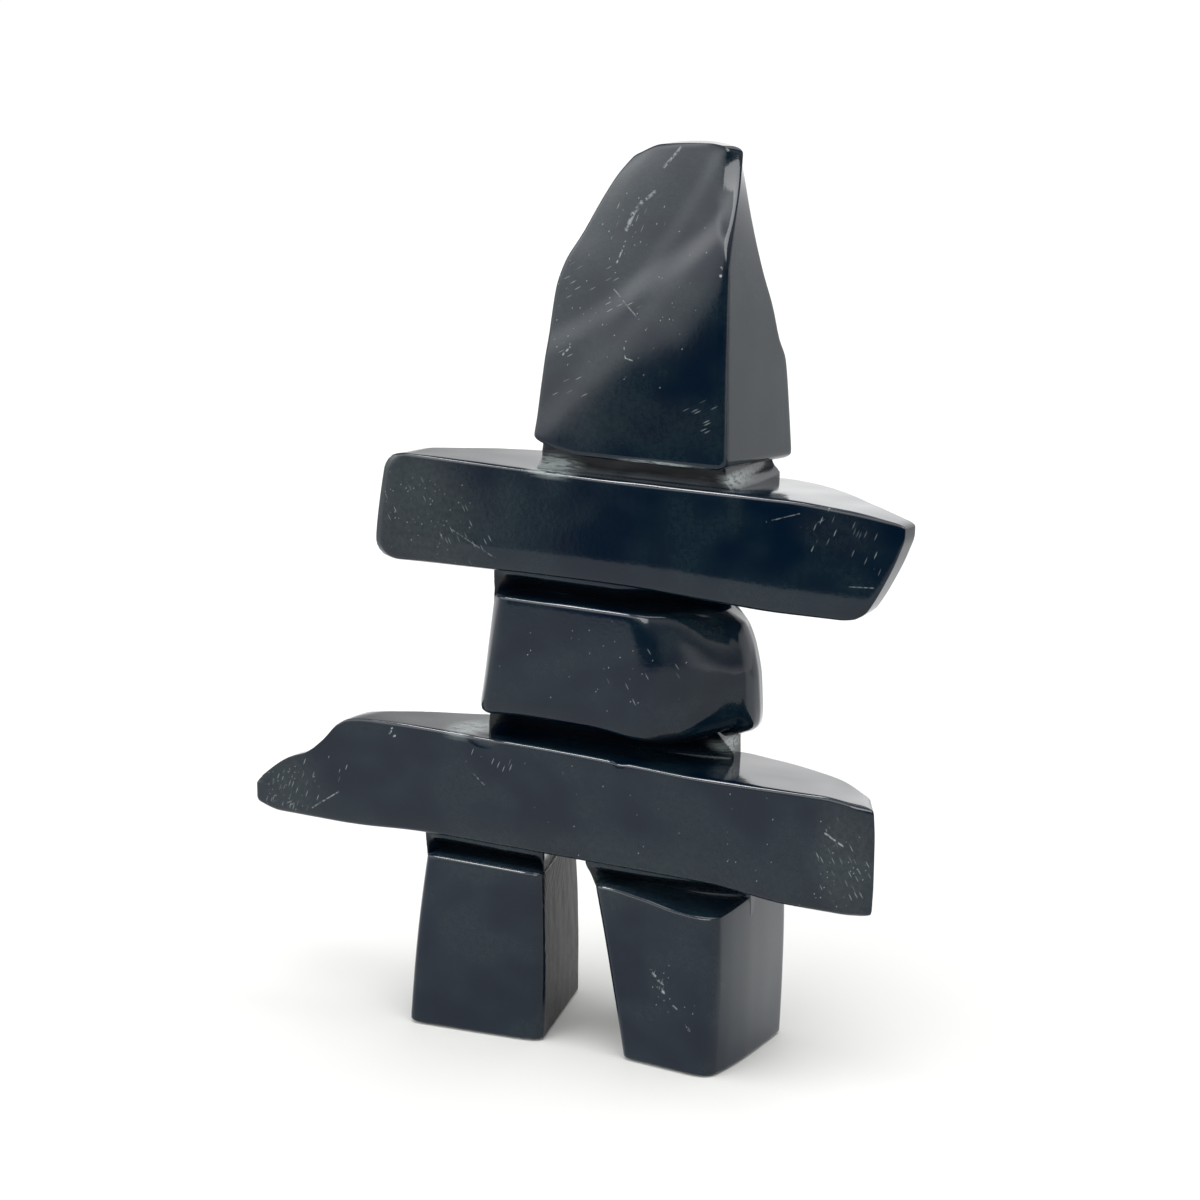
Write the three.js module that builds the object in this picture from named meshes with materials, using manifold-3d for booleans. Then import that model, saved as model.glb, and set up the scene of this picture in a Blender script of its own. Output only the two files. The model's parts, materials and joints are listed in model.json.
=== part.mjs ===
// A small standing figure of stacked stones, carved from one slab of black stone: two legs, a long
// lower arm stone, a body, an upper arm stone and a tall head. The stones aren't separate. Each groove
// between two of them leaves a narrower neck standing, so the carving is one solid.
//
// Millimetres, +Z up. X runs along the arms, and -Y is the polished front. While it is drawn, y = 0 is the
// slab's front plane and x = 0 lies under the middle of the lower arm. The finished carving is then centred
// on its own box, with its feet on z = 0.
import * as THREE from 'three';
import { mergeVertices } from 'three/addons/utils/BufferGeometryUtils.js';
import Module from 'manifold-3d';

const wasm = await Module();
wasm.setup();

// Heights of the stones, and of the grooves that part them, from the floor up
const legHeight = 47.8;
const legGroove = 3.4;
const lowerArmHeight = 31.6;
const lowerGroove = 6.8;
const bodyHeight = 32.4;
const upperGroove = 5;
const upperArmHeight = 30;
const headGroove = 4.4;
const headHeight = 79.6;

// The slab's depth from front to back, and how far the arm stones' tops fall over that depth
const slabDepth = 38;
const topFall = 3;

// Left end and length of each stone, along the arms
const leftLeg = { left: -45.5, length: 40 };
const rightLeg = { left: 9.5, length: 39 };
const lowerArm = { left: -97, length: 186 };
const body = { left: -27, length: 76.2 };
const upperArm = { left: -57, length: 152.4 };
const head = { left: -9.3, length: 56.5 };

// How far the left leg's inner side slants in towards the back
const innerSlant = 10;

// Necks: how far each stands in from the slab's front and back, and from the ends of its own stone,
// which are the two legs, the body and the head
const leftHip = { left: 1.4, right: 1, front: 3, back: 5 };
const rightHip = { left: -2, right: 0.6, front: 3, back: 8 };
const waist = { left: 0.8, right: 13, front: 3.6, back: 11 };
const chest = { left: 5.6, right: 12, front: 4, back: 9 };
const throat = { left: 1, right: 2.6, front: 2.4, back: 6 };

// How far a neck runs on into the stone below it and the stone above it
const neckReach = 9;

// Worn arrises: the radius left by polishing
const legRound = [2.6, 2.2, 2.2];
const armRound = [4, 2.4, 2.6];
const bodyRound = [4.5, 3, 3];
const headRound = [2.4, 2.6, 3.6];
const neckRound = [2, 2, 2];

// A smooth curve through [share, millimetres] points, which never swings past them
function profile(points) {
  const last = points.length - 1;
  const rise = [];
  for (let i = 0; i < last; i += 1) {
    rise.push((points[i + 1][1] - points[i][1]) / (points[i + 1][0] - points[i][0]));
  }
  const slope = points.map((point, i) => {
    const before = rise[Math.max(i - 1, 0)];
    const after = rise[Math.min(i, last - 1)];
    return before * after <= 0 ? 0 : (2 * before * after) / (before + after);
  });
  return (share) => {
    const t = Math.min(Math.max(share, points[0][0]), points[last][0]);
    let i = 0;
    while (i < last - 1 && t > points[i + 1][0]) {
      i += 1;
    }
    const width = points[i + 1][0] - points[i][0];
    const s = (t - points[i][0]) / width;
    const start = points[i][1] * (1 + 2 * s) * (1 - s) ** 2 + slope[i] * width * s * (1 - s) ** 2;
    const end = points[i + 1][1] * s * s * (3 - 2 * s) + slope[i + 1] * width * s * s * (s - 1);
    return start + end;
  };
}

// Where the mesh lines cross one side of a stone: close together round each arris, then evenly
// spread between, or as spread says
function meshLines(size, radius, cells, roundCells, spread) {
  const lines = [];
  for (let i = roundCells; i > 0; i -= 1) {
    lines.push(radius * (1 - Math.tan((Math.PI / 4) * (i / roundCells))));
  }
  for (let i = 0; i <= cells; i += 1) {
    lines.push(radius + (size - 2 * radius) * spread(i / cells));
  }
  for (let i = 1; i <= roundCells; i += 1) {
    lines.push(size - radius * (1 - Math.tan((Math.PI / 4) * (i / roundCells))));
  }
  return lines;
}

const straight = (t) => t;
const flat = () => 0;
const flatFaces = { left: flat, right: flat, front: flat, back: flat, bottom: flat, top: flat };

// One stone: a block with rounded arrises, whose faces then stand in from the block's own planes.
// Each face function gives millimetres inwards at the shares u along, v back and w up.
function stone({ at, size, round, cells, faces = {}, spread = straight, roundCells = 2 }) {
  const counts = cells.map((count) => count + 2 * roundCells);
  let geometry = new THREE.BoxGeometry(1, 1, 1, ...counts);
  geometry.deleteAttribute('normal');
  geometry.deleteAttribute('uv');
  geometry = mergeVertices(geometry);
  const lines = size.map((side, k) => (
    meshLines(side, round[k], cells[k], roundCells, k === 0 ? spread : straight)
  ));
  const inwards = { ...flatFaces, ...faces };
  const place = geometry.getAttribute('position');
  for (let i = 0; i < place.count; i += 1) {
    const point = [place.getX(i), place.getY(i), place.getZ(i)].map((value, k) => (
      lines[k][Math.round((value + 0.5) * counts[k])]
    ));
    const inner = point.map((value, k) => Math.min(Math.max(value, round[k]), size[k] - round[k]));
    const out = point.map((value, k) => (value - inner[k]) / round[k]);
    const reach = Math.hypot(...out) || 1;
    const [x, y, z] = inner.map((value, k) => value + (round[k] * out[k]) / reach);
    const [u, v, w] = [x / size[0], y / size[1], z / size[2]];
    place.setXYZ(
      i,
      at[0] + x + (1 - u) * inwards.left(v, w) - u * inwards.right(v, w),
      at[1] + y + (1 - v) * inwards.front(u, w) - v * inwards.back(u, w),
      at[2] + z + (1 - w) * inwards.bottom(u, v) - w * inwards.top(u, v),
    );
  }
  return geometry;
}

function toSolid(geometry) {
  return new wasm.Manifold(new wasm.Mesh({
    numProp: 3,
    vertProperties: new Float32Array(geometry.getAttribute('position').array),
    triVerts: new Uint32Array(geometry.getIndex().array),
  }));
}

function toGeometry(solid) {
  const mesh = solid.getMesh();
  const geometry = new THREE.BufferGeometry();
  geometry.setAttribute('position', new THREE.BufferAttribute(new Float32Array(mesh.vertProperties), 3));
  geometry.setIndex(new THREE.BufferAttribute(new Uint32Array(mesh.triVerts), 1));
  return geometry;
}

// The levels that the heights stack up to
const lowerArmBase = legHeight + legGroove;
const lowerArmTop = lowerArmBase + lowerArmHeight;
const bodyBase = lowerArmTop + lowerGroove;
const bodyTop = bodyBase + bodyHeight;
const upperArmBase = bodyTop + upperGroove;
const upperArmTop = upperArmBase + upperArmHeight;
const headBase = upperArmTop + headGroove;

// Left leg: its front turns forward towards the outer foot, and its inner side slants in to the back
function makeLeftLeg() {
  const outerLean = 3.2;
  const outerTurn = 3;
  const backLean = 1.2;
  const footFlare = { outer: 6, inner: 1, rise: 1.5 };
  return stone({
    at: [leftLeg.left, 0, 0],
    size: [leftLeg.length, slabDepth, legHeight],
    round: legRound,
    cells: [4, 4, 4],
    faces: {
      left: (v, w) => outerLean * w + outerTurn * v,
      right: (v) => innerSlant * v,
      front: (u, w) => -(footFlare.outer * (1 - u) + footFlare.inner * u) * (1 - w) ** footFlare.rise,
      back: (u, w) => backLean * w,
    },
  });
}

// Right leg: narrow at the foot and wide at the hip, with a ledge that falls to the right along the front
function makeRightLeg() {
  const innerLean = profile([[0, 8.8], [0.68, 3], [1, 0]]);
  const innerTurn = 2;
  const outerLean = 0.8;
  const footFlare = 1.2;
  const ledgeFall = profile([[0, 0], [0.3, 0.6], [1, 4.8]]);
  const ledgeFade = 1.5;
  return stone({
    at: [rightLeg.left, 0, 0],
    size: [rightLeg.length, slabDepth, legHeight],
    round: legRound,
    cells: [4, 4, 4],
    faces: {
      left: (v, w) => innerLean(w) - innerTurn * v,
      right: (v, w) => outerLean * (1 - w),
      front: (u, w) => -footFlare * u * (1 - w),
      top: (u, v) => ledgeFall(u) * (1 - v) ** ledgeFade,
    },
  });
}

// An arm stone is boat-shaped from above: its back is cut away towards both ends, by a share of the slab
const armTop = (line, boat) => (u, v) => line(u) + topFall * v * (1 - boat(u));
const armBack = (boat) => (u) => slabDepth * boat(u);

// Lower arm: a blunt tip at the left under a scooped shoulder, level over the legs, square at the right
function makeLowerArm() {
  const shoulder = profile([
    [0, 22], [0.027, 17.6], [0.05, 14.8], [0.081, 12.6], [0.114, 8.8], [0.14, 3.8], [0.165, 0.9],
    [0.25, 0], [0.46, 0], [0.65, 0.8], [0.74, 1.3], [0.93, 0.8], [1, 2.2],
  ]);
  const belly = profile([[0, 1.4], [0.03, 0.1], [0.13, 0.1], [0.3, 1.5], [0.75, 1.7], [0.88, 0], [1, 0.4]]);
  const boat = profile([
    [0, 0.66], [0.1, 0.65], [0.17, 0.615], [0.235, 0.516], [0.3, 0.4], [0.39, 0.226], [0.48, 0.132],
    [0.75, 0.121], [0.82, 0.21], [0.9, 0.37], [0.95, 0.487], [1, 0.66],
  ]);
  const tipBulge = 1.5;
  const rightEnd = profile([[0, 1.8], [0.3, 0.1], [0.7, 0], [1, 1.4]]);
  const rightTurn = 6;
  const crowdLeft = 1.25;
  return stone({
    at: [lowerArm.left, 0, lowerArmBase],
    size: [lowerArm.length, slabDepth, lowerArmHeight],
    round: armRound,
    cells: [28, 4, 3],
    spread: (t) => t ** crowdLeft,
    faces: {
      left: (v) => -tipBulge * v * (1 - v),
      right: (v, w) => rightEnd(w) + rightTurn * v,
      back: armBack(boat),
      bottom: belly,
      top: armTop(shoulder, boat),
    },
  });
}

// Body: wider at its base, with a broad slanting facet from the front round to the right side
function makeBody() {
  const leftSlant = profile([[0, 0], [0.2, 1.5], [0.6, 3.5], [1, 6]]);
  const leftTurn = 2;
  const rightLean = { most: 3.4, rise: 1.4 };
  const rightTurn = 4;
  const backLean = 2;
  const heel = profile([[0, -1.6], [0.1, -0.6], [0.25, 0], [1, 0]]);
  const facet = profile([[0, 0], [0.8, 0], [0.86, 1.2], [0.94, 6], [1, 10.5]]);
  const facetTop = profile([[0, 0], [0.77, 0], [0.84, 1.6], [0.94, 8.5], [1, 13.5]]);
  const backRound = profile([[0, 11], [0.12, 6], [0.3, 4], [0.75, 4], [0.92, 7], [1, 10]]);
  return stone({
    at: [body.left, 0, bodyBase],
    size: [body.length, slabDepth, bodyHeight],
    round: bodyRound,
    cells: [14, 4, 3],
    faces: {
      left: (v, w) => leftSlant(w) + leftTurn * v,
      right: (v, w) => rightLean.most * w ** rightLean.rise + rightTurn * v,
      front: (u, w) => facet(u) * (1 - w) + facetTop(u) * w,
      back: (u, w) => backRound(u) + backLean * w,
      bottom: (u, v) => heel(u) - topFall * v,
    },
  });
}

// Upper arm: square at the left, undercut to a point at the right
function makeUpperArm() {
  const leftSlant = profile([[0, 0], [0.3, 0.8], [0.8, 3.2], [1, 5]]);
  const undercut = profile([[0, 12.4], [0.12, 9.6], [0.42, 5], [0.72, 1.4], [0.9, 0], [1, 0]]);
  const topLine = profile([[0, 0], [0.2, 0.3], [0.5, 0.9], [0.78, 0.7], [0.9, 1.8], [1, 3.6]]);
  const belly = profile([[0, 0.4], [0.15, 0.8], [0.5, 1.4], [0.7, 0.6], [0.85, 0], [1, 0.4]]);
  const boat = profile([
    [0, 0.63], [0.045, 0.474], [0.117, 0.276], [0.2, 0.121], [0.31, 0.068],
    [0.67, 0.068], [0.73, 0.142], [0.78, 0.247], [0.845, 0.42], [0.91, 0.605], [0.96, 0.737], [1, 0.83],
  ]);
  return stone({
    at: [upperArm.left, 0, upperArmBase],
    size: [upperArm.length, slabDepth, upperArmHeight],
    round: armRound,
    cells: [24, 4, 3],
    faces: {
      left: (v, w) => leftSlant(w),
      right: (v, w) => undercut(w),
      back: armBack(boat),
      bottom: belly,
      top: armTop(topLine, boat),
    },
  });
}

// Head: thick at the base and thin at the crown. The front is upright at its lower right, and leans back
// above a soft ridge that climbs from the lower left. A bevel ends the front's right arris at the crown.
function makeHead() {
  const leftSlant = profile([
    [0, 0.6], [0.035, 1], [0.2, 2.2], [0.43, 3.7], [0.53, 4.6], [0.62, 6.8],
    [0.72, 11.4], [0.865, 17.6], [0.93, 20.8], [1, 25.4],
  ]);
  const leftTurn = 2;
  const nape = profile([
    [0, 0.053], [0.17, 0.105], [0.32, 0.153], [0.395, 0.253], [0.494, 0.337], [0.625, 0.484],
    [0.776, 0.61], [0.907, 0.684], [1, 0.737],
  ]);
  const napeTwist = 0.21;
  const ridge = { low: 0.06, high: 0.72, softness: 0.08, lean: 0.29 };
  const side = { lean: 0.4, turn: 1.6, twist: 4.4 };
  const crown = profile([[0, 4.2], [0.25, 1.3], [0.75, 0.2], [1, 0.6]]);
  const jaw = profile([[0, 3.8], [0.1, 2.2], [0.26, 0.4], [0.4, 0], [1, 0]]);
  const bevel = profile([[0.72, 0], [0.78, 1.4], [0.9, 2.6], [1, 2]]);
  const bevelEdge = profile([[0.84, 0], [0.94, 0.5], [1, 1]]);
  return stone({
    at: [head.left, 0, headBase],
    size: [head.length, slabDepth, headHeight],
    round: headRound,
    cells: [9, 4, 12],
    faces: {
      left: (v, w) => leftSlant(w) + leftTurn * v,
      right: (v, w) => side.twist * v * w * w - side.lean * w - side.turn * v,
      front: (u, w) => {
        const above = w - ridge.low - (ridge.high - ridge.low) * u;
        const softAbove = (above + Math.hypot(above, ridge.softness)) / 2;
        return slabDepth * ridge.lean * softAbove + bevel(w) * bevelEdge(u);
      },
      back: (u, w) => slabDepth * (nape(w) - napeTwist * w * (1 - u)),
      bottom: (u, v) => jaw(u) * (1 - v) ** 2 - topFall * v,
      top: crown,
    },
  });
}

// A neck runs from one stone up into the next, and takes its place from the stone that it belongs to
function makeNeck({ inset, owner, floor, ceiling, faces = {}, cells = [3, 2, 2] }) {
  const length = owner.length - inset.left - inset.right;
  const depth = slabDepth - inset.front - inset.back;
  return stone({
    at: [owner.left + inset.left, inset.front, floor - neckReach],
    size: [length, depth, ceiling - floor + 2 * neckReach],
    round: neckRound,
    cells,
    roundCells: 1,
    faces,
  });
}

const hips = { floor: legHeight, ceiling: lowerArmBase };
const hipArch = profile([[0, 5], [0.3, 3], [0.42, 0.4], [0.5, -0.8], [0.57, -3], [1, -3.6]]);
const hipTurn = { left: 3.4, right: 0.9 * innerSlant };
const hipTaper = 1.6;
const hipScoop = 9;
const archTurn = 1.5;
const leftHipBack = profile([[0, 0.37], [0.5, 0.16], [1, 0.05]]);
const waistTurn = { left: 3, taper: 1.8, back: 5 };
const chestTurn = { left: 3, front: 5, back: 6 };
const throatTurn = { left: 2.4, taper: 2.4 };
const necks = [
  makeNeck({
    inset: leftHip,
    owner: leftLeg,
    ...hips,
    faces: {
      left: (v, w) => hipTurn.left * v + hipTaper * (1 - w),
      right: (v) => hipTurn.right * v,
      back: (u) => slabDepth * leftHipBack(u),
    },
  }),
  makeNeck({
    inset: rightHip,
    owner: rightLeg,
    ...hips,
    cells: [3, 2, 10],
    faces: { front: (u) => hipScoop * u ** 3, left: (v, w) => hipArch(w) - archTurn * v },
  }),
  makeNeck({
    inset: waist,
    owner: body,
    floor: lowerArmTop,
    ceiling: bodyBase,
    faces: {
      left: (v, w) => waistTurn.left * v + waistTurn.taper * w * w,
      back: (u) => waistTurn.back * (1 - u) ** 3,
    },
  }),
  makeNeck({
    inset: chest,
    owner: body,
    floor: bodyTop,
    ceiling: upperArmBase,
    faces: {
      left: (v) => chestTurn.left * v,
      front: (u) => chestTurn.front * u ** 4,
      back: (u) => chestTurn.back * (1 - u) ** 3,
    },
  }),
  makeNeck({
    inset: throat,
    owner: head,
    floor: upperArmTop,
    ceiling: headBase,
    faces: { left: (v, w) => throatTurn.left * v + throatTurn.taper * w * w },
  }),
];
const stones = [makeLeftLeg(), makeRightLeg(), makeLowerArm(), makeBody(), makeUpperArm(), makeHead()];
const carving = [...stones, ...necks].map(toSolid).reduce((whole, next) => whole.add(next));

const geometry = toGeometry(carving);
geometry.computeBoundingBox();
const middle = geometry.boundingBox.getCenter(new THREE.Vector3());
geometry.translate(-middle.x, -middle.y, -geometry.boundingBox.min.z);
geometry.computeVertexNormals();

const blackStone = new THREE.MeshStandardMaterial({ color: 0x171d22, roughness: 0.22, metalness: 0 });
const carvedPiece = new THREE.Mesh(geometry, blackStone);
carvedPiece.name = 'inukshuk_carving';

const sculpture = new THREE.Group();
sculpture.add(carvedPiece);

export default sculpture;
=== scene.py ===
import json
import math
import time

import bmesh
import bpy
import numpy as np
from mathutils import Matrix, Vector, noise

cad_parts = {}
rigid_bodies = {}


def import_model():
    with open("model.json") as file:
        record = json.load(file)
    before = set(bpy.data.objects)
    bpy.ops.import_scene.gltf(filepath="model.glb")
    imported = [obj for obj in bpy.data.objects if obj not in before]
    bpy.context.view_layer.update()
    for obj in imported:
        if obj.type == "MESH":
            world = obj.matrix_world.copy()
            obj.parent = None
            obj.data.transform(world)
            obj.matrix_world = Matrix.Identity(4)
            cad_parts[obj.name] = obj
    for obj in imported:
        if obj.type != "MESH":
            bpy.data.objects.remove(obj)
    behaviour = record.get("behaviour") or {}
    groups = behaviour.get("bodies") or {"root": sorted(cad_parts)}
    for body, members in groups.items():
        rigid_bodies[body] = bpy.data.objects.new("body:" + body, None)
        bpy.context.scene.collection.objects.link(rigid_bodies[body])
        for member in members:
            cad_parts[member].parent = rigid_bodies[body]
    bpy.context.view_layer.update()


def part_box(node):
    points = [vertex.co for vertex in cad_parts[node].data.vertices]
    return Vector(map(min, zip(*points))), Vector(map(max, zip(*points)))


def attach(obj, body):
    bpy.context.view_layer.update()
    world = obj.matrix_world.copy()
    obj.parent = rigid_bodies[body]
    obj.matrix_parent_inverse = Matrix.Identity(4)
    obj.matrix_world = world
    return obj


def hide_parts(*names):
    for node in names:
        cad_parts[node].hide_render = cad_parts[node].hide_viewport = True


started = time.perf_counter()
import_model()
mm = 0.001


def say(stage):
    print(f"{time.perf_counter() - started:6.1f} s  {stage}")


# A smooth curve through (share, millimetres) points, which never swings past them
def profile(*points):
    share = np.array([point[0] for point in points], float)
    depth = np.array([point[1] for point in points], float)
    rise = np.diff(depth) / np.diff(share)
    before = np.append(rise[0], rise)
    after = np.append(rise, rise[-1])
    both = before * after
    slope = np.where(both > 0, 2 * both / np.where(both > 0, before + after, 1), 0)

    def curve(t):
        t = np.clip(t, share[0], share[-1])
        i = np.clip(np.searchsorted(share, t, side="right") - 1, 0, len(share) - 2)
        width = share[i + 1] - share[i]
        s = (t - share[i]) / width
        start = depth[i] * (1 + 2 * s) * (1 - s) ** 2 + slope[i] * width * s * (1 - s) ** 2
        end = depth[i + 1] * s * s * (3 - 2 * s) + slope[i + 1] * width * s * s * (s - 1)
        return start + end

    return curve


def curvesOf(piece):
    return {name: profile(*points) for name, points in piece["curves"].items()}


# 0 at start and 1 at end, with soft shoulders
def fade(value, start, end):
    t = np.clip((value - start) / (end - start), 0, 1)
    return t * t * (3 - 2 * t)


# The slab that the figure was cut from, in millimetres: y = 0 is its front, and the stones' heights and
# the grooves between them stack up from the floor
slab = {
    "depth": 38, "topFall": 3, "neckReach": 9,
    "legHeight": 47.8, "legGroove": 3.4, "lowerArmHeight": 31.6, "lowerGroove": 6.8, "bodyHeight": 32.4,
    "upperGroove": 5, "upperArmHeight": 30, "headGroove": 4.4, "headHeight": 79.6,
    "gridStep": 1.25, "neckStep": 0.8, "roundCells": 5, "roundSteepness": 0.97,
}
lowerArmBase = slab["legHeight"] + slab["legGroove"]
lowerArmTop = lowerArmBase + slab["lowerArmHeight"]
bodyBase = lowerArmTop + slab["lowerGroove"]
bodyTop = bodyBase + slab["bodyHeight"]
upperArmBase = bodyTop + slab["upperGroove"]
upperArmTop = upperArmBase + slab["upperArmHeight"]
headBase = upperArmTop + slab["headGroove"]


# Lines across one side of a stone: close together round each arris, then evenly spread
def gridLines(side, radius, step):
    bend = slab["roundCells"]
    cells = max(2, round((side - 2 * radius) / step))
    rounds = radius * (1 - np.tan(np.pi / 4 * np.arange(bend, 0, -1) / bend))
    middle = np.linspace(radius, side - radius, cells + 1)
    return np.concatenate([rounds, middle, side - rounds[::-1]])


def flat(a, b):
    return np.zeros_like(a)


# One stone: a cube cut into a grid, its arrises rounded, its faces then moved in by the millimetres that
# each face function gives at the shares u along, v back and w up
def addStone(stones, at, size, rounding, faces, step=slab["gridStep"]):
    lines = [gridLines(size[k], rounding[k], step) for k in range(3)]
    bm = bmesh.new()
    bmesh.ops.create_cube(bm, size=1)
    for k in range(3):
        across = [e for e in bm.edges if abs(e.verts[0].co[k] - e.verts[1].co[k]) > 0.5]
        bmesh.ops.subdivide_edges(bm, edges=across, cuts=len(lines[k]) - 2, use_grid_fill=True)
    mesh = bpy.data.meshes.new("stone")
    bm.to_mesh(mesh)
    bm.free()
    place = np.empty(len(mesh.vertices) * 3)
    mesh.vertices.foreach_get("co", place)
    place = place.reshape(-1, 3)
    size = np.array(size, float)
    rounding = np.array(rounding, float)
    steps = np.array([len(line) - 1 for line in lines])
    index = np.rint((place + 0.5) * steps).astype(int)
    point = np.stack([lines[k][index[:, k]] for k in range(3)], 1)
    inner = np.clip(point, rounding, size - rounding)
    out = (point - inner) / rounding
    reach = np.linalg.norm(out, axis=1)
    reach[reach == 0] = 1
    x, y, z = (inner + rounding * out / reach[:, None]).T
    u, v, w = x / size[0], y / size[1], z / size[2]
    left, right, front, back, bottom, top = (
        faces.get(name, flat) for name in ("left", "right", "front", "back", "bottom", "top")
    )
    shaped = np.stack([
        at[0] + x + (1 - u) * left(v, w) - u * right(v, w),
        at[1] + y + (1 - v) * front(u, w) - v * back(u, w),
        at[2] + z + (1 - w) * bottom(u, v) - w * top(u, v),
    ], 1)
    mesh.vertices.foreach_set("co", (shaped * mm).ravel())
    stones.objects.link(bpy.data.objects.new("stone", mesh))


# A stone as deep as the slab
def cutStone(stones, piece, base, height, faces):
    addStone(
        stones, (piece["left"], 0, base), (piece["length"], slab["depth"], height), piece["rounding"], faces,
    )


# How far a stone's end draws in at its foot and head, in quarter rounds of the given radii
def endRound(w, tall, foot, crown):
    low = np.clip(1 - w * tall / foot, 0, 1)
    high = np.clip(1 - (1 - w) * tall / crown, 0, 1)
    footDraw = foot * (1 - np.sqrt(1 - slab["roundSteepness"] * low ** 2))
    return footDraw + crown * (1 - np.sqrt(1 - slab["roundSteepness"] * high ** 2))


# In each piece's dictionary a turn is how far a face swings, in or out, from one edge to the other, a
# round is the two radii at its foot and head, and a curve gives millimetres at shares of a side. Boat and
# nape curves give shares of the slab's depth instead, and the head's ridge and bevelStart give shares of
# its own height and length

# Left leg: its toe stands out in front, and its inner side slants back
leftLeg = {
    "left": -45.5, "length": 40, "rounding": (3.4, 2.6, 1.2),
    "outerFoot": 0.4, "outerLean": 2.8, "outerHollow": 0.7, "outerTurn": 3, "outerRound": (1.6, 1.6),
    "innerTurn": 10, "innerHollow": 0.5, "innerRound": (0.4, 1),
    "toe": 6, "toeFall": 5, "edgeFrom": 0.82, "edgeDrop": 0.7, "backLean": 1.2,
}


def addLeftLeg(stones):
    leg = leftLeg
    tall = slab["legHeight"]

    def outer(v, w):
        lean = leg["outerFoot"] + leg["outerLean"] * w - leg["outerHollow"] * np.sin(np.pi * w)
        return lean + leg["outerTurn"] * v + endRound(w, tall, *leg["outerRound"])

    def inner(v, w):
        hollow = leg["innerHollow"] * np.sin(np.pi * w)
        return leg["innerTurn"] * v - hollow + endRound(w, tall, *leg["innerRound"])

    def front(u, w):
        return -(leg["toe"] - leg["toeFall"] * u) * (1 - w) + leg["edgeDrop"] * fade(u, leg["edgeFrom"], 1)

    cutStone(stones, leg, 0, tall, {
        "left": outer,
        "right": inner,
        "front": front,
        "back": lambda u, w: leg["backLean"] * w,
    })


rightLeg = {
    "left": 9.5, "length": 39, "rounding": (3.4, 2.6, 1.2),
    "innerTurn": 2, "innerRound": (1, 0.4), "outerLean": 0.8, "outerBarrel": 0.5,
    "toe": 1.2, "edgeFrom": 0.8, "edgeDrop": 1.1, "ledgeFade": 1.5,
    "curves": {
        "innerLean": ((0, 8.8), (0.68, 3), (1, 0)),
        "outerSwell": ((0, 2.6), (0.2, 1.1), (0.45, 0.2), (0.7, 0), (1, 0)),
        "ledge": ((0, 0.2), (0.1, 0), (0.4, 1.2), (0.7, 3), (0.92, 3.5), (1, 3.4)),
    },
}


def addRightLeg(stones):
    leg = rightLeg
    tall = slab["legHeight"]
    curve = curvesOf(leg)

    def inner(v, w):
        return curve["innerLean"](w) - leg["innerTurn"] * v + endRound(w, tall, *leg["innerRound"])

    def outer(v, w):
        return leg["outerLean"] * (1 - w) + leg["outerBarrel"] * (2 * w - 1) ** 2 + curve["outerSwell"](v)

    cutStone(stones, leg, 0, tall, {
        "left": inner,
        "right": outer,
        "front": lambda u, w: -leg["toe"] * u * (1 - w) + leg["edgeDrop"] * fade(u, leg["edgeFrom"], 1),
        "top": lambda u, v: curve["ledge"](u) * (1 - v) ** leg["ledgeFade"],
    })


# Lower arm: blunt tip at the left under a scooped shoulder, level over the legs, square at the right
lowerArm = {
    "left": -97, "length": 186, "rounding": (2.6, 1.3, 1.2),
    "tipHeight": 9, "tipSwell": 1.5, "tipRound": (2.4, 3),
    "rightTurn": 6, "rightRound": (2.2, 1.6), "edgeFrom": 0.965, "edgeDrop": 1.2,
    "curves": {
        "shoulder": (
            (0, 22), (0.027, 17.6), (0.05, 14.8), (0.081, 12.6), (0.112, 8.2), (0.138, 3.2), (0.16, 1.2),
            (0.2, 0.4), (0.3, 0), (0.46, 0), (0.65, 0.8), (0.74, 1.3), (0.93, 0.8), (1, 2.2),
        ),
        "belly": ((0, 1.4), (0.03, 0.1), (0.13, 0.1), (0.3, 1.5), (0.75, 1.7), (0.88, 0), (1, 0.4)),
        "boat": (
            (0, 0.68), (0.1, 0.7), (0.17, 0.69), (0.235, 0.55), (0.3, 0.41), (0.39, 0.226), (0.48, 0.132),
            (0.75, 0.121), (0.82, 0.21), (0.9, 0.37), (0.95, 0.487), (1, 0.66),
        ),
        "rightEnd": ((0, 0.6), (0.3, 0.1), (0.7, 0), (1, 0.5)),
        "foot": ((0, 0.9), (0.04, 0.5), (0.1, 0.12), (0.2, 0), (1, 0)),
    },
}


def addLowerArm(stones):
    arm = lowerArm
    tall = slab["lowerArmHeight"]
    curve = curvesOf(arm)

    def tip(v, w):
        return -arm["tipSwell"] * v * (1 - v) + endRound(w, arm["tipHeight"], *arm["tipRound"])

    def rightEnd(v, w):
        return curve["rightEnd"](w) + arm["rightTurn"] * v + endRound(w, tall, *arm["rightRound"])

    cutStone(stones, arm, lowerArmBase, tall, {
        "left": tip,
        "right": rightEnd,
        "front": lambda u, w: curve["foot"](w) + arm["edgeDrop"] * fade(u, arm["edgeFrom"], 1),
        "back": lambda u, w: slab["depth"] * curve["boat"](u),
        "bottom": lambda u, v: curve["belly"](u),
        "top": lambda u, v: curve["shoulder"](u) + slab["topFall"] * v * (1 - curve["boat"](u)),
    })


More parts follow.
